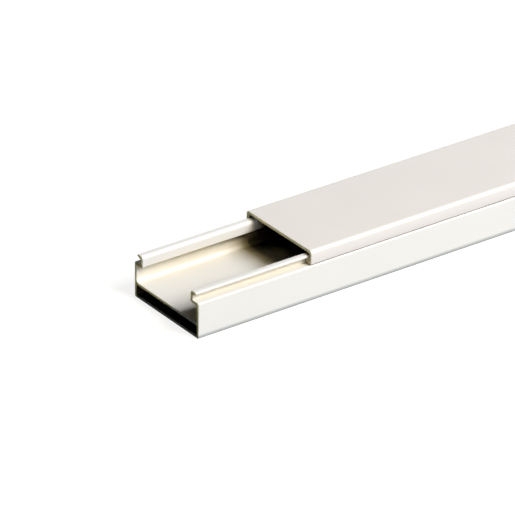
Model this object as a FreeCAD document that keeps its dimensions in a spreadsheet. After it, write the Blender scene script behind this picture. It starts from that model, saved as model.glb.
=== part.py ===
import FreeCAD, Part
import math
import os
import Sketcher

# Cord cover raceway: a two-piece PVC trunking that hides cables along a wall or skirting.
# The base is an extrusion with a closed flat chamber behind its channel, and two lips that
# end in outward hooks. The cover is a second extrusion whose feet carry inward barbs. The
# barbs snap under the hooks, and the cover can be slid along them.
# Frame: X runs along the stick, Y across it, Z out of the wall. The origin is the middle of
# the base's back face. All sizes are in millimetres.

# Driving sizes: name, value, what it measures
DRIVING = (
    ("stick_length", "400", "cut length of the base and of the cover"),
    ("cover_set_back", "50", "how far the cover is slid back from the base's near end"),
    ("trunking_width", "40", "overall width"),
    ("trunking_height", "20.4", "overall height, back face to cover top"),
    ("back_plate", "1.1", "thickness of the plate against the wall"),
    ("chamber_height", "3.9", "clear height of the closed chamber behind the channel"),
    ("floor_plate", "1.15", "thickness of the channel's floor"),
    ("base_side_wall", "1.2", "thickness of the base's side walls"),
    ("shoulder_plate", "1.2", "thickness of the shoulders that the cover's feet stand on"),
    ("lip_wall", "1.2", "thickness of the lips"),
    ("hook_plate", "1.0", "thickness of the hooks at their tip"),
    ("hook_reach", "2.15", "how far the hooks stand out from the lips"),
    ("hook_root_run", "1.6", "how far the hooks' sloped catching face runs out from the lips"),
    ("hook_root_rise", "0.8", "how much thicker that slope makes the hooks at their root"),
    ("groove_height", "2.7", "clear height of the groove between hook and shoulder, at the tip"),
    ("cover_top_wall", "1.3", "thickness of the cover's top"),
    ("cover_leg_wall", "1.35", "thickness of the cover's legs"),
    ("lid_gap", "1.0", "clearance from the hooks' top to the cover's underside"),
    ("hook_side_gap", "0.35", "clearance from the hooks' tip to the cover's legs"),
    ("barb_tip_gap", "0.25", "clearance from the barbs' tip to the lips"),
    ("running_gap", "0.12", "clearance between the barbs and the hooks above them"),
    ("foot_gap", "0.2", "clearance from the shoulders to the cover's feet"),
    ("barb_lead_run", "1.0", "depth of the ramp that guides the barb over the hook"),
    ("barb_lead_rise", "0.75", "height of that ramp"),
    ("base_corner_radius", "0.7", "rounding of the base's back corners"),
    ("shoulder_edge_radius", "0.6", "rounding of the shoulders' outer edge"),
    ("hook_nose_radius", "0.6", "rounding of the hooks' upper edge, at the tip"),
    ("lip_top_radius", "1.4", "rounding of the lips' upper edge, at the mouth"),
    ("hook_lower_radius", "0.35", "rounding of the hooks' lower edge"),
    ("lip_foot_radius", "1.0", "rounding of the edge under the mouth"),
    ("groove_fillet", "0.25", "fillets in the groove's two inner corners"),
    ("shoulder_fillet", "0.7", "fillets under the shoulders"),
    ("channel_fillet", "1.5", "fillets along the channel's floor"),
    ("chamber_fillet", "0.5", "fillets in the chamber's four corners"),
    ("cover_corner_radius", "1.2", "rounding of the cover's outer corners"),
    ("cover_inner_radius", "0.6", "fillets inside the cover's corners"),
    ("foot_edge_radius", "0.5", "rounding of the outer edge of the cover's feet"),
)

# Sizes that follow from them: name, formula, what it measures
FOLLOWING = (
    ("half_width", "=trunking_width / 2", "outer face of base and cover"),
    ("wall_inner", "=half_width - base_side_wall", "inner face of the side walls"),
    ("chamber_top", "=back_plate + chamber_height", "underside of the channel's floor"),
    ("floor_top", "=chamber_top + floor_plate", "channel's floor"),
    ("cover_under", "=trunking_height - cover_top_wall", "underside of the cover's top"),
    ("lip_top", "=cover_under - lid_gap", "top of lips and hooks"),
    ("hook_under", "=lip_top - hook_plate", "underside of the hooks"),
    ("shoulder_top", "=hook_under - groove_height", "top of the shoulders"),
    ("shoulder_under", "=shoulder_top - shoulder_plate", "underside of the shoulders"),
    ("leg_inner", "=half_width - cover_leg_wall", "inner face of the cover's legs"),
    ("hook_tip", "=leg_inner - hook_side_gap", "tip of the hooks"),
    ("lip_outer", "=hook_tip - hook_reach", "outer face of the lips"),
    ("lip_inner", "=lip_outer - lip_wall", "inner face of the lips, half the mouth's width"),
    ("barb_tip", "=lip_outer + barb_tip_gap", "tip of the barbs"),
    ("barb_top", "=hook_under - running_gap", "catching face of the barbs"),
    ("foot_bottom", "=shoulder_top + foot_gap", "underside of the cover's feet"),
    ("barb_slope_run", "=hook_root_run - barb_tip_gap", "run of the barbs' sloped catching face"),
    ("barb_slope_rise", "=hook_root_rise * barb_slope_run / hook_root_run", "rise of that face"),
    ("base_start", "=-stick_length / 2", "near end of the base"),
    ("cover_start", "=base_start + cover_set_back", "near end of the cover"),
)

# Half sections, walked anticlockwise. Each entry is one straight edge: a level one at a
# height or an upright one at a distance from the middle plane, then the corner at its end.
BASE_SECTION = (
    ("level", "back_face", ("round", "base_corner_radius")),
    ("upright", "half_width", ("round", "shoulder_edge_radius")),
    ("level", "shoulder_top", ("round", "groove_fillet")),
    ("upright", "lip_outer", ("ramp", "hook_root_run", "hook_root_rise")),
    ("level", "hook_under", ("round", "hook_lower_radius")),
    ("upright", "hook_tip", ("round", "hook_nose_radius")),
    ("level", "lip_top", ("round", "lip_top_radius")),
    ("upright", "lip_inner", ("round", "lip_foot_radius")),
    ("level", "shoulder_under", ("round", "shoulder_fillet")),
    ("upright", "wall_inner", ("round", "channel_fillet")),
    ("level", "floor_top", ("sharp",)),
    ("upright", "middle", ("sharp",)),
    ("level", "chamber_top", ("round", "chamber_fillet")),
    ("upright", "wall_inner", ("round", "chamber_fillet")),
    ("level", "back_plate", ("sharp",)),
    ("upright", "middle", ("sharp",)),
)
COVER_SECTION = (
    ("level", "foot_bottom", ("round", "foot_edge_radius")),
    ("upright", "half_width", ("round", "cover_corner_radius")),
    ("level", "trunking_height", ("sharp",)),
    ("upright", "middle", ("sharp",)),
    ("level", "cover_under", ("round", "cover_inner_radius")),
    ("upright", "leg_inner", ("round", "groove_fillet")),
    ("level", "barb_top", ("ramp", "barb_slope_run", "barb_slope_rise")),
    ("upright", "barb_tip", ("ramp", "barb_lead_run", "barb_lead_rise")),
)

# The two section lines that need no size, because they lie on the sketch's own axes
ON_AXIS = ("back_face", "middle")
# The sketcher's numbers for the two ends of a line or an arc
START, END = 1, 2


def make_sheet(doc):
    """The spreadsheet that holds every size of the part."""
    sheet = doc.addObject("Spreadsheet::Sheet", "sizes")
    for row, (alias, text, meaning) in enumerate(DRIVING + FOLLOWING, start=1):
        sheet.set(f"A{row}", meaning)
        sheet.set(f"B{row}", text)
        sheet.setAlias(f"B{row}", alias)
    doc.recompute()
    return sheet


def origin_plane(body, role):
    """One of the body's own origin planes, by its role."""
    return next(item for item in body.Origin.OriginFeatures if item.Role == role)


def place_of(sheet, line):
    """Where a section line lies: 0 for an axis, otherwise its size in the sheet."""
    return 0.0 if line in ON_AXIS else float(sheet.get(line))


def sharp_corners(sheet, section):
    """The points where each edge of a section would meet the next one."""
    corners = []
    for index, (kind, line, _) in enumerate(section):
        following = section[(index + 1) % len(section)][1]
        here, there = place_of(sheet, line), place_of(sheet, following)
        across, up = (there, here) if kind == "level" else (here, there)
        corners.append(FreeCAD.Vector(across, up, 0))
    return corners


def corner_cuts(sheet, corner, kind):
    """How much a corner takes off the edge before it and off the edge after it."""
    if corner[0] == "sharp":
        return 0.0, 0.0
    if corner[0] == "round":
        radius = float(sheet.get(corner[1]))
        return radius, radius
    run, rise = float(sheet.get(corner[1])), float(sheet.get(corner[2]))
    return (run, rise) if kind == "level" else (rise, run)


def bind(sketch, constraint, name, alias):
    """Add a constraint, name it and bind it to a size in the sheet."""
    index = sketch.addConstraint(constraint)
    sketch.renameConstraint(index, name)
    sketch.setExpression(f"Constraints.{name}", f"sizes.{alias}")


def add_edges(sketch, sheet, section):
    """The straight edges of a section, each held on its line."""
    corners = sharp_corners(sheet, section)
    cuts = [corner_cuts(sheet, corner, kind) for kind, _, corner in section]
    for index, (kind, line, _) in enumerate(section):
        begin, finish = corners[index - 1], corners[index]
        along = (finish - begin).normalize()
        begin = begin + along * cuts[index - 1][1]
        finish = finish - along * cuts[index][0]
        sketch.addGeometry(Part.LineSegment(begin, finish), False)
        level = kind == "level"
        sketch.addConstraint(Sketcher.Constraint("Horizontal" if level else "Vertical", index))
        if line in ON_AXIS:
            # the sketcher numbers its level axis -1 and its upright axis -2
            axis = -1 if level else -2
            sketch.addConstraint(Sketcher.Constraint("PointOnObject", index, START, axis))
        else:
            distance = "DistanceY" if level else "DistanceX"
            held = Sketcher.Constraint(distance, index, START, place_of(sheet, line))
            bind(sketch, held, f"{line}_{index}", line)


def add_round(sketch, before, after, alias, radius):
    """A tangent arc from the end of one edge to the start of the next."""
    first, second = sketch.Geometry[before], sketch.Geometry[after]
    coming = (first.EndPoint - first.StartPoint).normalize()
    going = (second.EndPoint - second.StartPoint).normalize()
    left_turn = coming.cross(going).z > 0
    centre = first.EndPoint + going * radius
    begin, finish = (first.EndPoint, second.StartPoint) if left_turn else (second.StartPoint, first.EndPoint)
    angles = [math.atan2(point.y - centre.y, point.x - centre.x) for point in (begin, finish)]
    if angles[1] < angles[0]:
        angles[1] += 2 * math.pi
    circle = Part.Circle(centre, FreeCAD.Vector(0, 0, 1), radius)
    arc = sketch.addGeometry(Part.ArcOfCircle(circle, angles[0], angles[1]), False)
    arc_first, arc_last = (START, END) if left_turn else (END, START)
    sketch.addConstraint(Sketcher.Constraint("Tangent", before, END, arc, arc_first))
    sketch.addConstraint(Sketcher.Constraint("Tangent", arc, arc_last, after, START))
    bind(sketch, Sketcher.Constraint("Radius", arc, radius), f"{alias}_{arc}", alias)


def add_ramp(sketch, before, after, run, rise):
    """A slanted line from the end of one edge to the start of the next."""
    begin, finish = sketch.Geometry[before].EndPoint, sketch.Geometry[after].StartPoint
    ramp = sketch.addGeometry(Part.LineSegment(begin, finish), False)
    sketch.addConstraint(Sketcher.Constraint("Coincident", before, END, ramp, START))
    sketch.addConstraint(Sketcher.Constraint("Coincident", ramp, END, after, START))
    inner, outer = (START, END) if finish.x > begin.x else (END, START)
    lower, upper = (START, END) if finish.y > begin.y else (END, START)
    across = Sketcher.Constraint("DistanceX", ramp, inner, ramp, outer, abs(finish.x - begin.x))
    bind(sketch, across, f"{run}_{ramp}", run)
    upward = Sketcher.Constraint("DistanceY", ramp, lower, ramp, upper, abs(finish.y - begin.y))
    bind(sketch, upward, f"{rise}_{ramp}", rise)


def half_section(body, sheet, section):
    """A closed, fully constrained half section on the body's YZ plane."""
    sketch = body.newObject("Sketcher::SketchObject", f"{body.Name}_half_section")
    sketch.AttachmentSupport = [(origin_plane(body, "YZ_Plane"), "")]
    sketch.MapMode = "FlatFace"
    add_edges(sketch, sheet, section)
    for index, (_, _, corner) in enumerate(section):
        after = (index + 1) % len(section)
        if corner[0] == "sharp":
            sketch.addConstraint(Sketcher.Constraint("Coincident", index, END, after, START))
        elif corner[0] == "round":
            add_round(sketch, index, after, corner[1], float(sheet.get(corner[1])))
        else:
            add_ramp(sketch, index, after, corner[1], corner[2])
    return sketch


def extrusion(doc, sheet, name, section, start):
    """A body drawn as a half section, extruded to the stick's length and mirrored."""
    body = doc.addObject("PartDesign::Body", name)
    body.Label = name
    sketch = half_section(body, sheet, section)
    half = body.newObject("PartDesign::Pad", f"{name}_half")
    half.Profile = sketch
    half.setExpression("Length", "sizes.stick_length")
    whole = body.newObject("PartDesign::Mirrored", f"{name}_whole")
    whole.Originals = [half]
    whole.MirrorPlane = (origin_plane(body, "XZ_Plane"), [""])
    whole.Refine = True
    body.Tip = whole
    body.setExpression("Placement.Base.x", f"sizes.{start}")
    return body


def check(doc, bodies):
    """Stop if anything in the document failed to build."""
    for item in doc.Objects:
        if "Invalid" in item.State or "Error" in item.State:
            raise RuntimeError(f"{item.Name} is in state {item.State}")
        if item.TypeId == "Sketcher::SketchObject" and not item.FullyConstrained:
            raise RuntimeError(f"{item.Name} is not fully constrained")
    for body in bodies:
        if body.Shape.isNull() or not body.Shape.isValid():
            raise RuntimeError(f"{body.Label} has no valid shape")


def main():
    doc = FreeCAD.newDocument("cord_cover_raceway")
    sheet = make_sheet(doc)
    bodies = (
        extrusion(doc, sheet, "base_channel", BASE_SECTION, "base_start"),
        extrusion(doc, sheet, "snap_cover", COVER_SECTION, "cover_start"),
    )
    doc.recompute()
    check(doc, bodies)
    os.makedirs("parts", exist_ok=True)
    for body in bodies:
        body.Shape.exportStep(f"parts/{body.Label}.step")
        box = body.Shape.BoundBox
        print(f"{body.Label}: {len(body.Shape.Solids)} solid, {body.Shape.Volume / 1000:.2f} cm3,"
              f" X {box.XMin:.2f} to {box.XMax:.2f}, Y {box.YMin:.2f} to {box.YMax:.2f},"
              f" Z {box.ZMin:.2f} to {box.ZMax:.2f}")


main()
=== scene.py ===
import math

import bmesh
import bpy
from mathutils import Matrix, Vector


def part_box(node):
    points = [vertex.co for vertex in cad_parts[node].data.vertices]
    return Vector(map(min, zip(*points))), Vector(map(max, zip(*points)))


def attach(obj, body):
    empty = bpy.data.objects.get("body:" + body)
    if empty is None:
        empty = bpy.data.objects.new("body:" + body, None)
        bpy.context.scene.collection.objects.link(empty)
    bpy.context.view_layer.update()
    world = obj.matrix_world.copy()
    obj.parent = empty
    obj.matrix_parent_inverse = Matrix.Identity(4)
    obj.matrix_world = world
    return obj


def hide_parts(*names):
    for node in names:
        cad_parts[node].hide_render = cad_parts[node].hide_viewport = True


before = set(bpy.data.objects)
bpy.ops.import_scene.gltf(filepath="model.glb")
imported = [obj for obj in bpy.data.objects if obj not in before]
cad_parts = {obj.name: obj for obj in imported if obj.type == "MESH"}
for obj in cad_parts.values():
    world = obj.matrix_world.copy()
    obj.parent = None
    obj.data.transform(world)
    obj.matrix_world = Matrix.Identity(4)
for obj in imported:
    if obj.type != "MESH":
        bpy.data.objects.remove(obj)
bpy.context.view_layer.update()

# Cord cover raceway: a white PVC base channel with hooked lips, and its clip-over cover, slid
# back from the near end. Metres, in the frame of the solids: X along the stick, Y across it,
# Z out of the wall.

MM = 0.001
WHITE = (1.0, 1.0, 1.0, 1.0)

# Outer sizes, from the solids
BASE_LOW, BASE_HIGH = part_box("base_channel")
COVER_LOW, COVER_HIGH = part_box("snap_cover")
HALF_WIDTH = BASE_HIGH.y
LIP_TOP = BASE_HIGH.z
FOOT_BOTTOM = COVER_LOW.z
COVER_TOP = COVER_HIGH.z

# Walls and gaps of the two sections
BACK_PLATE = 1.1 * MM
CHAMBER_HEIGHT = 3.9 * MM
FLOOR_PLATE = 1.15 * MM
BASE_SIDE_WALL = 1.2 * MM
SHOULDER_PLATE = 1.2 * MM
LIP_WALL = 1.2 * MM
HOOK_PLATE = 1.0 * MM
HOOK_REACH = 2.15 * MM
HOOK_ROOT_RUN = 1.6 * MM
HOOK_ROOT_RISE = 0.8 * MM
GROOVE_HEIGHT = 2.7 * MM
COVER_TOP_WALL = 1.3 * MM
COVER_LEG_WALL = 1.35 * MM
HOOK_SIDE_GAP = 0.35 * MM
BARB_TIP_GAP = 0.25 * MM
RUNNING_GAP = 0.12 * MM
BARB_LEAD_RUN = 1.0 * MM
BARB_LEAD_RISE = 0.75 * MM
# The clipped-on legs bow outwards by this much between foot and top. A step is a point on the
# way up, where the foot is at -1 and the top at 1.
LEG_BOW = 0.14 * MM
LEG_BOW_STEPS = (-0.78, -0.62, -0.46, -0.30, -0.14, 0.02, 0.18, 0.34, 0.50)

# Rounded corners of the two sections
BASE_CORNER = 0.7 * MM
SHOULDER_EDGE = 0.6 * MM
HOOK_NOSE = 0.6 * MM
LIP_EDGE = 1.4 * MM
HOOK_LOWER = 0.25 * MM
LIP_FOOT = 1.0 * MM
GROOVE_FILLET = 0.25 * MM
SHOULDER_FILLET = 0.7 * MM
CHANNEL_FILLET = 1.5 * MM
CHAMBER_FILLET = 0.5 * MM
COVER_CORNER = 1.2 * MM
COVER_INNER = 0.6 * MM
FOOT_EDGE = 0.5 * MM

# A rounding as large as the channel's has a step for each of these angles, a smaller one fewer
ROUND_STEP = math.radians(9)
FEWEST_ROUND_STEPS = 4
ROUND_PROFILE = 0.5
# The edge that a fine saw and a wipe of the thumb leave on the cut ends
CUT_EDGE = 0.1 * MM
CUT_EDGE_STEPS = 2

# Points nearer than this are the same place
SAME_PLACE = 1e-7
# The two halves of a piece are welded where their points are nearer than this
WELD = 1e-6
# The part of a face's normal that points along the stick: a cut end's is above the first, its
# rounded edge counts as sawn above the second, and a side's is below the third
CUT_END = 0.9
SAWN_EDGE = 0.5
SIDE = 0.1
# The finishes of each piece, in their order: as the die left it, and sawn
DRAWN, SAWN = 0, 1
NORMAL_WEIGHT = 100

# The camera, where the photograph was taken from. The corner is the base's lowest one at the
# near end, on the side that faces the camera, and its pixel is in the 515 x 515 frame.
FRAME_PIXELS = 515
SENSOR = 36.0
VIEW_AZIMUTH = math.radians(-36.350)
VIEW_ELEVATION = math.radians(28.016)
VIEW_ROLL = math.radians(0.642)
LENS = 341.45
CORNER = Vector((BASE_LOW.x, BASE_LOW.y, BASE_LOW.z))
CORNER_PIXEL = (198.507, 339.429)
CORNER_DEPTH = 1.74875

# Colours of the plastic: looked at, sawn, and in the light that it passes on
PVC_BASE = (0.868, 0.858, 0.860, 1.0)
PVC_COVER = (0.842, 0.808, 0.802, 1.0)
PVC_SAWN = (0.740, 0.715, 0.580, 1.0)
PVC_BOUNCED = (0.70, 0.61, 0.39, 1.0)
# Painted shade: a warm tint laid on the plastic in its own hollows, from the bottom, at 0, to the
# open, at 1
HOLLOW_PAINTED_SHADES = (
    (0.25, (0.990, 0.945, 0.840, 1.0)),
    (0.45, (1.000, 0.978, 0.930, 1.0)),
    (0.80, (1.000, 1.000, 1.000, 1.0)),
)
HOLLOW_REACH = 80 * MM
# Painted shade where the two pieces shut a spot in below the first openness; above the second they
# let the light in
SHUT_IN = 0.135
LET_IN = 0.175
SHUT_IN_SHADE = (0.05, 0.03, 0.01, 1.0)
# Painted shade on the chamber's walls, where hardly any light comes in
CHAMBER_SHADE = (0.05, 0.04, 0.02, 1.0)
CHAMBER_EDGE = 0.05 * MM
# Painted shade on the lips' inner faces, a little duller than the rest, from this high up
MOUTH_PAINTED_SHADE = (0.865, 0.870, 0.900, 1.0)
MOUTH_FROM = 13.6 * MM
MOUTH_TO = 14.5 * MM
MOUTH_EDGE = 0.4 * MM
# Painted shade: the greyer foot of the base's sides, where they meet the wall
FOOT_PAINTED_SHADE = (0.520, 0.565, 0.575, 1.0)
FOOT_FROM = 0.5 * MM
FOOT_TO = 2.2 * MM

# The surface of the plastic. A span is the darkest and the lightest share of a colour, and a
# roughness is the smoothest one and what the mottle or the grain adds to it.
PVC_SHADER = {
    "IOR": 1.53,
    "Specular IOR Level": 0.3,
    "Coat Tint": SHUT_IN_SHADE,
    "Coat IOR": 1.0,
}
SAWN_SHADER = {
    "IOR": 1.45,
    "Subsurface Weight": 0.9,
    "Subsurface Radius": (1.0, 0.9, 0.6),
    "Subsurface Scale": 4.0 * MM,
}
PVC_SPAN = (0.985, 1.01)
SAWN_SPAN = (0.9, 1.06)
PVC_ROUGHNESS = (0.36, 0.16)
SAWN_ROUGHNESS = (0.6, 0.2)
PVC_RELIEF = {"Strength": 0.12, "Distance": 0.02 * MM}
SAWN_RELIEF = {"Strength": 0.35, "Distance": 0.05 * MM}
# The grain's share in the relief of the die lines
GRAIN_RELIEF = 0.25
# How far each piece's pattern is moved, so that the two don't match
BASE_SHIFT = (0, 0, 0)
COVER_SHIFT = (0.3, 0.1, 0.2)
# How fine the patterns are, per metre. The die lines are fine across the stick and long along it.
DIE_PITCH = 1400.0
DIE_DRIFT = 4.0
SAW_PITCH = 900.0
MOTTLE_SCALE = 30.0
SAWN_MOTTLE_SCALE = 160.0
# The grain is this many times finer than the mottle
GRAIN_TO_MOTTLE = 60.0
# The part of a noise between its usual lowest and highest values
NOISE_SPAN = (0.3, 0.7)

# The floor, and how it and the white around it look to the camera, to a gloss and to the light
FLOOR_SIZE = 6.0
FLOOR_GAP = 0.05 * MM
FLOOR_WHITE = (0.30, 0.30, 0.30, 1.0)
FLOOR_TO_LIGHT = (0.03, 0.03, 0.03, 1.0)
FLOOR_SHADER = {"Roughness": 0.9, "Specular IOR Level": 0.1, "Emission Color": WHITE}
FLOOR_GLOW = 0.84
GLOSS_OF_BACKGROUND = 0.08
AMBIENT = 0.003

# The lamps: the direction from the view's middle, the size along and across the stick, the
# power, the colour, and whether the lamp shows in a gloss
VIEW_MIDDLE = Vector((-0.12, 0, 0.01))
LAMP_DISTANCE = 2.4
LAMPS = {
    "key": ((0.40, -0.80, 0.82), (1.1, 1.45), 74, (0.922, 0.957, 1.0), True),
    "warm side": ((0.08, -0.80, 0.82), (0.6, 1.4), 18, (1.0, 0.81, 0.40), True),
    "low side": ((-0.35, -1.0, 0.12), (1.4, 0.5), 8.5, (0.90, 0.955, 1.0), True),
    "back": ((0.42, 1.0, 0.12), (0.9, 0.45), 24, (1.0, 1.0, 1.0), False),
}

# The colour sockets of a Mix node. Its sockets of other kinds have the same names.
MIX_FIRST, MIX_SECOND, MIX_RESULT = 6, 7, 2
# A new colour ramp has this many marks
RAMP_MARKS = 2


def section_lines():
    """The heights and the distances from the middle plane that both sections share."""
    hook_under = LIP_TOP - HOOK_PLATE
    leg_inner = HALF_WIDTH - COVER_LEG_WALL
    lip_outer = leg_inner - HOOK_SIDE_GAP - HOOK_REACH
    return hook_under, hook_under - GROOVE_HEIGHT, leg_inner, lip_outer


def base_section():
    """Half of the base's section, sharp: (distance from the middle, height, corner radius)."""
    hook_under, shoulder_top, _, lip_outer = section_lines()
    chamber_top = BACK_PLATE + CHAMBER_HEIGHT
    wall_inner = HALF_WIDTH - BASE_SIDE_WALL
    hook_tip = lip_outer + HOOK_REACH
    lip_inner = lip_outer - LIP_WALL
    shoulder_under = shoulder_top - SHOULDER_PLATE
    floor_top = chamber_top + FLOOR_PLATE
    return (
        (0, 0, 0),
        (HALF_WIDTH, 0, BASE_CORNER),
        (HALF_WIDTH, shoulder_top, SHOULDER_EDGE),
        (lip_outer, shoulder_top, GROOVE_FILLET),
        (lip_outer, hook_under - HOOK_ROOT_RISE, 0),
        (lip_outer + HOOK_ROOT_RUN, hook_under, 0),
        (hook_tip, hook_under, HOOK_LOWER),
        (hook_tip, LIP_TOP, HOOK_NOSE),
        (lip_inner, LIP_TOP, LIP_EDGE),
        (lip_inner, shoulder_under, LIP_FOOT),
        (wall_inner, shoulder_under, SHOULDER_FILLET),
        (wall_inner, floor_top, CHANNEL_FILLET),
        (0, floor_top, 0),
        (0, chamber_top, 0),
        (wall_inner, chamber_top, CHAMBER_FILLET),
        (wall_inner, BACK_PLATE, CHAMBER_FILLET),
        (0, BACK_PLATE, 0),
    )


def cover_section():
    """Half of the cover's section, sharp: (distance from the middle, height, corner radius)."""
    hook_under, _, leg_inner, lip_outer = section_lines()
    barb_tip = lip_outer + BARB_TIP_GAP
    barb_top = hook_under - RUNNING_GAP
    slope_run = HOOK_ROOT_RUN - BARB_TIP_GAP
    slope_rise = HOOK_ROOT_RISE * slope_run / HOOK_ROOT_RUN
    cover_under = COVER_TOP - COVER_TOP_WALL
    half_leg = (COVER_TOP - FOOT_BOTTOM) / 2
    bow = [
        (HALF_WIDTH - LEG_BOW * step ** 2, FOOT_BOTTOM + half_leg * (1 + step), 0)
        for step in LEG_BOW_STEPS
    ]
    return (
        (0, COVER_TOP, 0),
        (0, cover_under, 0),
        (leg_inner, cover_under, COVER_INNER),
        (leg_inner, barb_top, GROOVE_FILLET),
        (barb_tip + slope_run, barb_top, 0),
        (barb_tip, barb_top - slope_rise, 0),
        (barb_tip, FOOT_BOTTOM + BARB_LEAD_RISE, 0),
        (barb_tip + BARB_LEAD_RUN, FOOT_BOTTOM, 0),
        (HALF_WIDTH - LEG_BOW, FOOT_BOTTOM, FOOT_EDGE),
        *bow,
        (HALF_WIDTH - LEG_BOW, COVER_TOP, COVER_CORNER),
    )


def length_along(edge):
    """How far an edge reaches along the stick."""
    return abs(edge.verts[0].co.x - edge.verts[1].co.x)


def round_edges(mesh, edges, size, steps):
    """Round edges off with an even arc."""
    bmesh.ops.bevel(
        mesh, geom=edges, offset=size, offset_type="OFFSET", affect="EDGES",
        segments=steps, profile=ROUND_PROFILE, material=-1,
    )


def round_corners(mesh, section, start):
    """Round the lengthwise edge at each corner of an extruded section by that corner's radius."""
    for radius in sorted({size for _, _, size in section} - {0}):
        places = [Vector((start, across, up)) for across, up, size in section if size == radius]
        edges = [
            edge
            for edge in mesh.edges
            if length_along(edge) > MM
            and any((end.co - place).length < SAME_PLACE for end in edge.verts for place in places)
        ]
        share = min(1, math.sqrt(radius / CHANNEL_FILLET))
        steps = max(FEWEST_ROUND_STEPS, round(math.pi / 2 / ROUND_STEP * share))
        round_edges(mesh, edges, radius, steps)


def ease_cut_ends(mesh):
    """Take the razor edge off both cut ends."""
    rims = [
        edge
        for edge in mesh.edges
        if length_along(edge) < SAME_PLACE
        and any(abs(face.normal.x) > CUT_END for face in edge.link_faces)
        and any(abs(face.normal.x) < SIDE for face in edge.link_faces)
    ]
    round_edges(mesh, rims, CUT_EDGE, CUT_EDGE_STEPS)


def add_other_half(mesh):
    """Open the half piece at the middle plane and weld its mirror image on there."""
    middle = [
        face for face in mesh.faces if all(abs(vert.co.y) < SAME_PLACE for vert in face.verts)
    ]
    bmesh.ops.delete(mesh, geom=middle, context="FACES_ONLY")
    half = mesh.verts[:] + mesh.edges[:] + mesh.faces[:]
    bmesh.ops.mirror(mesh, geom=half, axis="Y", merge_dist=WELD)
    bmesh.ops.recalc_face_normals(mesh, faces=mesh.faces)


def in_scene(name, mesh):
    """A mesh as an object of the scene, at the origin."""
    data = bpy.data.meshes.new(name)
    mesh.to_mesh(data)
    mesh.free()
    made = bpy.data.objects.new(name, data)
    bpy.context.scene.collection.objects.link(made)
    return made


def extruded(name, section, start, end):
    """A piece made as the real one is: its section drawn, pushed out to length and cut square."""
    mesh = bmesh.new()
    corners = [mesh.verts.new((start, across, up)) for across, up, _ in section]
    face = mesh.faces.new(corners)
    pushed = bmesh.ops.extrude_face_region(mesh, geom=[face])
    moved = [item for item in pushed["geom"] if isinstance(item, bmesh.types.BMVert)]
    bmesh.ops.translate(mesh, verts=moved, vec=(end - start, 0, 0))
    round_corners(mesh, section, start)
    add_other_half(mesh)
    ease_cut_ends(mesh)
    for face in mesh.faces:
        face.smooth = True
        face.material_index = SAWN if abs(face.normal.x) > SAWN_EDGE else DRAWN
    piece = in_scene(name, mesh)
    shading = piece.modifiers.new("even shading", "WEIGHTED_NORMAL")
    shading.weight = NORMAL_WEIGHT
    shading.keep_sharp = True
    return piece


def new_group(name, inputs, outputs):
    """A shader node group with named sockets: (name, type, default) and (name, type)."""
    group = bpy.data.node_groups.new(name, "ShaderNodeTree")
    for label, kind, value in inputs:
        socket = group.interface.new_socket(label, in_out="INPUT", socket_type=kind)
        socket.default_value = value
    for label, kind in outputs:
        group.interface.new_socket(label, in_out="OUTPUT", socket_type=kind)
    return group, group.nodes.new("NodeGroupInput"), group.nodes.new("NodeGroupOutput")


def node(tree, kind, **settings):
    """A node with its properties and its unlinked inputs set."""
    made = tree.nodes.new(kind)
    for key, value in settings.items():
        if key in made.inputs.keys():
            made.inputs[key].default_value = value
        else:
            setattr(made, key, value)
    return made


def feed(tree, value, slot):
    """Link a socket to an input, or set a plain value there."""
    if isinstance(value, bpy.types.NodeSocket):
        tree.links.new(value, slot)
    else:
        slot.default_value = value


def math_node(tree, operation, *operands):
    """The result of a Math node. Each operand is a number or a socket."""
    made = node(tree, "ShaderNodeMath", operation=operation)
    for slot, value in zip(made.inputs, operands):
        feed(tree, value, slot)
    return made.outputs[0]


def parted(tree, place):
    """The X, Y and Z of a place."""
    parts = node(tree, "ShaderNodeSeparateXYZ")
    tree.links.new(place, parts.inputs[0])
    return parts.outputs


def ranged(tree, value, start, end, low=0.0, high=1.0, blend="LINEAR"):
    """A value carried from one range over to another, and held at its ends."""
    ramp = node(tree, "ShaderNodeMapRange", interpolation_type=blend)
    ramp.inputs["From Min"].default_value = start
    ramp.inputs["From Max"].default_value = end
    ramp.inputs["To Min"].default_value = low
    ramp.inputs["To Max"].default_value = high
    tree.links.new(value, ramp.inputs["Value"])
    return ramp.outputs["Result"]


def mixed(tree, share, first, second, blend="MIX"):
    """A first colour with a share of a second one in it. Each is a plain value or a socket."""
    mix = node(tree, "ShaderNodeMix", data_type="RGBA", blend_type=blend)
    feed(tree, share, mix.inputs["Factor"])
    feed(tree, first, mix.inputs[MIX_FIRST])
    feed(tree, second, mix.inputs[MIX_SECOND])
    return mix.outputs[MIX_RESULT]


def tinted(tree, colour, tint):
    """One colour multiplied by another."""
    return mixed(tree, 1.0, colour, tint, "MULTIPLY")


def varied_colour(tree, colour, span, mask):
    """A colour that wanders between a darker and a lighter share of itself with a mask."""
    scaled = node(tree, "ShaderNodeVectorMath", operation="SCALE")
    scaled.inputs[0].default_value = colour[:3]
    tree.links.new(ranged(tree, mask, *NOISE_SPAN, *span), scaled.inputs["Scale"])
    return scaled.outputs[0]


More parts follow.
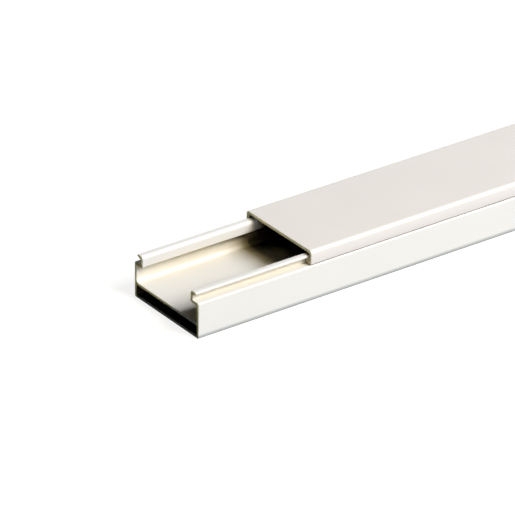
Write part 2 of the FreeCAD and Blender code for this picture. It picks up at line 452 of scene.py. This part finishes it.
def die_lines_group():
    """Fine lines along the stick, drawn into the surface by the extruder's die."""
    group, given, result = new_group(
        "die lines",
        [("Vector", "NodeSocketVector", (0, 0, 0)), ("Pitch", "NodeSocketFloat", DIE_PITCH),
         ("Drift", "NodeSocketFloat", DIE_DRIFT)],
        [("Lines", "NodeSocketFloat")],
    )
    parts = parted(group, given.outputs["Vector"])
    joined = node(group, "ShaderNodeCombineXYZ")
    for axis, rate in (("X", "Drift"), ("Y", "Pitch"), ("Z", "Pitch")):
        scaled = math_node(group, "MULTIPLY", parts[axis], given.outputs[rate])
        group.links.new(scaled, joined.inputs[axis])
    noise = node(group, "ShaderNodeTexNoise", Scale=1.0, Detail=3.0, Roughness=0.6)
    group.links.new(joined.outputs[0], noise.inputs["Vector"])
    group.links.new(noise.outputs[0], result.inputs["Lines"])
    return group


def mottle_group():
    """Broad, soft unevenness, as handling and slight warping leave on plastic, and a fine grain."""
    group, given, result = new_group(
        "mottle",
        [("Vector", "NodeSocketVector", (0, 0, 0)), ("Scale", "NodeSocketFloat", MOTTLE_SCALE)],
        [("Mask", "NodeSocketFloat"), ("Grain", "NodeSocketFloat")],
    )
    broad = node(group, "ShaderNodeTexNoise", Detail=4.0, Roughness=0.55)
    fine = node(group, "ShaderNodeTexNoise", Detail=2.0, Roughness=0.7)
    finer = math_node(group, "MULTIPLY", given.outputs["Scale"], GRAIN_TO_MOTTLE)
    for noise, scale, label in ((broad, given.outputs["Scale"], "Mask"), (fine, finer, "Grain")):
        group.links.new(given.outputs["Vector"], noise.inputs["Vector"])
        group.links.new(scale, noise.inputs["Scale"])
        group.links.new(noise.outputs[0], result.inputs[label])
    return group


def hollow_painted_shade_group():
    """Painted shade: a warm tint in the piece's own hollows, and a painted darkening where both
    pieces shut a spot in.
    """
    group, given, result = new_group(
        "hollow",
        [("Reach", "NodeSocketFloat", HOLLOW_REACH)],
        [("Tint", "NodeSocketColor"), ("Depth", "NodeSocketFloat")],
    )
    own = node(group, "ShaderNodeAmbientOcclusion", samples=8, only_local=True)
    both = node(group, "ShaderNodeAmbientOcclusion", samples=32)
    for sky in (own, both):
        group.links.new(given.outputs["Reach"], sky.inputs["Distance"])
    ramp = node(group, "ShaderNodeValToRGB")
    marks = ramp.color_ramp.elements
    for place, _ in HOLLOW_PAINTED_SHADES[RAMP_MARKS:]:
        marks.new(place)
    for mark, (place, colour) in zip(marks, HOLLOW_PAINTED_SHADES):
        mark.position = place
        mark.color = colour
    group.links.new(own.outputs["AO"], ramp.inputs["Fac"])
    group.links.new(ramp.outputs["Color"], result.inputs["Tint"])
    depth = ranged(group, both.outputs["AO"], SHUT_IN, LET_IN, 1.0, 0.0)
    group.links.new(depth, result.inputs["Depth"])
    return group


def link_group(tree, group, vector, **values):
    """Place a shader group in a material, fed with Object coordinates."""
    placed = node(tree, "ShaderNodeGroup", node_tree=group)
    tree.links.new(vector, placed.inputs["Vector"])
    for label, value in values.items():
        placed.inputs[label].default_value = value
    return placed


def foot_painted_shade(tree, place):
    """Painted shade: a greyer band along the foot of the sides."""
    above = ranged(tree, parted(tree, place)["Z"], FOOT_FROM, FOOT_TO, blend="SMOOTHSTEP")
    return mixed(tree, above, FOOT_PAINTED_SHADE, WHITE)


def mouth_painted_shade(tree, place):
    """Painted shade that dulls the inner faces of the two lips."""
    parts = parted(tree, place)
    *_, lip_outer = section_lines()
    lip_inner = lip_outer - LIP_WALL
    aside = math_node(tree, "ABSOLUTE", parts["Y"])
    inside = ranged(tree, aside, lip_inner + MOUTH_EDGE, lip_inner, blend="SMOOTHSTEP")
    above = ranged(tree, parts["Z"], MOUTH_FROM, MOUTH_TO, blend="SMOOTHSTEP")
    return mixed(tree, math_node(tree, "MULTIPLY", inside, above), WHITE, MOUTH_PAINTED_SHADE)


def chamber_painted_shade(tree, place):
    """Painted shade in the chamber: within its height, and between its side walls."""
    parts = parted(tree, place)
    above_middle = math_node(tree, "SUBTRACT", parts["Z"], BACK_PLATE + CHAMBER_HEIGHT / 2)
    off_middle = math_node(tree, "ABSOLUTE", above_middle)
    in_height = math_node(tree, "LESS_THAN", off_middle, CHAMBER_HEIGHT / 2 + CHAMBER_EDGE)
    aside = math_node(tree, "ABSOLUTE", parts["Y"])
    in_width = math_node(tree, "LESS_THAN", aside, HALF_WIDTH - BASE_SIDE_WALL + CHAMBER_EDGE)
    return mixed(tree, math_node(tree, "MULTIPLY", in_height, in_width), WHITE, CHAMBER_SHADE)


def warm_bounce(tree, colour, tint):
    """The colour itself where it is looked at, and a warmer one in the light that it passes on."""
    path = node(tree, "ShaderNodeLightPath")
    passed_on = tinted(tree, PVC_BOUNCED, tint)
    return mixed(tree, path.outputs["Is Diffuse Ray"], colour, passed_on)


def new_material(name, values):
    """A material with values on its shader's own sockets: the material, its nodes, its shader."""
    material = bpy.data.materials.new(name)
    material.use_nodes = True
    shader = material.node_tree.nodes["Principled BSDF"]
    for label, value in values.items():
        shader.inputs[label].default_value = value
    return material, material.node_tree, shader


def finish_surface(tree, shader, roughness, mask, relief, height):
    """Make a surface rougher with a mask, and raise it by a height."""
    smoothest, added = roughness
    rough = math_node(tree, "MULTIPLY_ADD", mask, added, smoothest)
    tree.links.new(rough, shader.inputs["Roughness"])
    bump = node(tree, "ShaderNodeBump", **relief)
    tree.links.new(height, bump.inputs["Height"])
    tree.links.new(bump.outputs[0], shader.inputs["Normal"])


def pvc(name, colour, groups, shift, painted_shades=(), painted_shade_patches=()):
    """Satin white PVC as it leaves the die: faint lengthwise lines, soft mottle, even gloss.

    Painted shades also tint the light that the plastic passes on, and painted shade patches only
    what is looked at.
    """
    material, tree, shader = new_material(name, PVC_SHADER)
    place = node(tree, "ShaderNodeTexCoord").outputs["Object"]
    moved = node(tree, "ShaderNodeMapping", Location=shift)
    tree.links.new(place, moved.inputs["Vector"])
    lines = link_group(tree, groups["die lines"], moved.outputs[0])
    mottle = link_group(tree, groups["mottle"], moved.outputs[0])
    hollow = node(tree, "ShaderNodeGroup", node_tree=groups["hollow"])
    shade = hollow.outputs["Tint"]
    for part in painted_shades:
        shade = tinted(tree, shade, part(tree, place))
    shown = tinted(tree, varied_colour(tree, colour, PVC_SPAN, mottle.outputs["Mask"]), shade)
    for part in painted_shade_patches:
        shown = tinted(tree, shown, part(tree, place))
    tree.links.new(warm_bounce(tree, shown, shade), shader.inputs["Base Color"])
    # Painted shade: a coat that only takes light away, over the spots that both pieces shut in
    tree.links.new(hollow.outputs["Depth"], shader.inputs["Coat Weight"])
    height = math_node(
        tree, "MULTIPLY_ADD", mottle.outputs["Grain"], GRAIN_RELIEF, lines.outputs["Lines"]
    )
    finish_surface(tree, shader, PVC_ROUGHNESS, mottle.outputs["Mask"], PVC_RELIEF, height)
    return material


def sawn_pvc(name, colour, groups):
    """The cut end: matt, a little darker and yellower, with the saw's fine lines across it."""
    material, tree, shader = new_material(name, SAWN_SHADER)
    place = node(tree, "ShaderNodeTexCoord").outputs["Object"]
    teeth = node(tree, "ShaderNodeTexWave", Scale=SAW_PITCH, Distortion=1.5, Detail=2.0)
    teeth.bands_direction = "Y"
    tree.links.new(place, teeth.inputs["Vector"])
    mottle = link_group(tree, groups["mottle"], place, Scale=SAWN_MOTTLE_SCALE)
    shown = varied_colour(tree, colour, SAWN_SPAN, mottle.outputs["Mask"])
    tree.links.new(shown, shader.inputs["Base Color"])
    grain = mottle.outputs["Grain"]
    finish_surface(tree, shader, SAWN_ROUGHNESS, grain, SAWN_RELIEF, teeth.outputs["Fac"])
    return material


def axes_matrix(right, up, back):
    """The rotation that gives an object these directions as its own X, Y and Z."""
    return Matrix((right, up, back)).transposed().to_4x4()


def camera_frame():
    """The camera's right, up and forward directions."""
    forward = -Vector((
        math.sin(VIEW_AZIMUTH) * math.cos(VIEW_ELEVATION),
        -math.cos(VIEW_AZIMUTH) * math.cos(VIEW_ELEVATION),
        math.sin(VIEW_ELEVATION),
    ))
    right = forward.cross(Vector((0, 0, 1))).normalized()
    up = right.cross(forward)
    turned = math.cos(VIEW_ROLL) * right + math.sin(VIEW_ROLL) * up
    return turned, turned.cross(forward), forward


def place_camera():
    """The photograph's view: the near bottom corner falls on its pixel."""
    data = bpy.data.cameras.new("camera")
    data.sensor_width = SENSOR
    data.lens = LENS
    camera = bpy.data.objects.new("camera", data)
    bpy.context.scene.collection.objects.link(camera)
    right, up, forward = camera_frame()
    per_pixel = CORNER_DEPTH * SENSOR / LENS / FRAME_PIXELS
    aside, below = ((pixel - FRAME_PIXELS / 2) * per_pixel for pixel in CORNER_PIXEL)
    eye = CORNER - right * aside + up * below - forward * CORNER_DEPTH
    camera.matrix_world = Matrix.Translation(eye) @ axes_matrix(right, up, -forward)
    bpy.context.scene.camera = camera


def softbox(name, direction, size, power, colour, in_gloss):
    """A soft studio lamp in a direction from the view's middle, its width along the stick."""
    data = bpy.data.lights.new(name, "AREA")
    data.shape = "RECTANGLE"
    data.size, data.size_y = size
    data.energy = power
    data.color = colour
    lamp = bpy.data.objects.new(name, data)
    lamp.visible_glossy = in_gloss
    bpy.context.scene.collection.objects.link(lamp)
    away = Vector(direction).normalized()
    along = (Vector((1, 0, 0)) - away * away.x).normalized()
    axes = axes_matrix(along, away.cross(along), away)
    lamp.matrix_world = Matrix.Translation(VIEW_MIDDLE + away * LAMP_DISTANCE) @ axes


def light_scene():
    """Two high lamps and a low one in front of the near side, and a low one behind."""
    for name, lamp in LAMPS.items():
        softbox(name, *lamp)


def seen_rays(tree):
    """1 for the rays that show a background to the camera, and less for those of a gloss."""
    path = node(tree, "ShaderNodeLightPath")
    glossy = math_node(tree, "MULTIPLY", path.outputs["Is Glossy Ray"], GLOSS_OF_BACKGROUND)
    seen = math_node(tree, "MAXIMUM", path.outputs["Is Camera Ray"], glossy)
    return math_node(tree, "MAXIMUM", seen, path.outputs["Is Transmission Ray"])


def white_world():
    """Faint ambient light, plain white where the camera meets the world, and dim in a gloss."""
    world = bpy.data.worlds.new("world")
    bpy.context.scene.world = world
    world.use_nodes = True
    tree = world.node_tree
    tree.nodes.clear()
    background = node(tree, "ShaderNodeBackground")
    output = node(tree, "ShaderNodeOutputWorld")
    level = ranged(tree, seen_rays(tree), 0.0, 1.0, AMBIENT, 1.0)
    tree.links.new(level, background.inputs["Strength"])
    tree.links.new(background.outputs[0], output.inputs["Surface"])


def pale_floor():
    """A plain white floor that keeps a soft shadow."""
    mesh = bmesh.new()
    bmesh.ops.create_grid(mesh, x_segments=1, y_segments=1, size=FLOOR_SIZE)
    floor = in_scene("floor", mesh)
    floor.location.z = BASE_LOW.z - FLOOR_GAP
    material, tree, shader = new_material("floor", FLOOR_SHADER)
    seen = seen_rays(tree)
    tone = mixed(tree, seen, FLOOR_TO_LIGHT, FLOOR_WHITE)
    glow = math_node(tree, "MULTIPLY", seen, FLOOR_GLOW)
    tree.links.new(tone, shader.inputs["Base Color"])
    tree.links.new(glow, shader.inputs["Emission Strength"])
    floor.data.materials.append(material)


def build_raceway():
    """Both extrusions, in the places of their solids."""
    groups = {"die lines": die_lines_group(), "mottle": mottle_group(), "hollow": hollow_painted_shade_group()}
    base = extruded("base_extrusion", base_section(), BASE_LOW.x, BASE_HIGH.x)
    cover = extruded("cover_extrusion", cover_section(), COVER_LOW.x, COVER_HIGH.x)
    sawn = sawn_pvc("sawn end", PVC_SAWN, groups)
    # Painted shade on the base: its foot and the lips' inner faces, and the chamber's walls
    painted_shade_patches = (foot_painted_shade, mouth_painted_shade)
    base_pvc = pvc("base pvc", PVC_BASE, groups, BASE_SHIFT, (chamber_painted_shade,), painted_shade_patches)
    cover_pvc = pvc("cover pvc", PVC_COVER, groups, COVER_SHIFT)
    finishes = (
        (base, "base_channel", "base", "base_pvc", base_pvc),
        (cover, "snap_cover", "cover", "cover_pvc", cover_pvc),
    )
    for piece, solid, body, slot, material in finishes:
        piece.data.materials.append(material)
        piece.data.materials.append(sawn)
        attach(piece, body)
        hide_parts(solid)


bpy.context.scene.view_settings.view_transform = "Standard"
build_raceway()
pale_floor()
light_scene()
white_world()
place_camera()
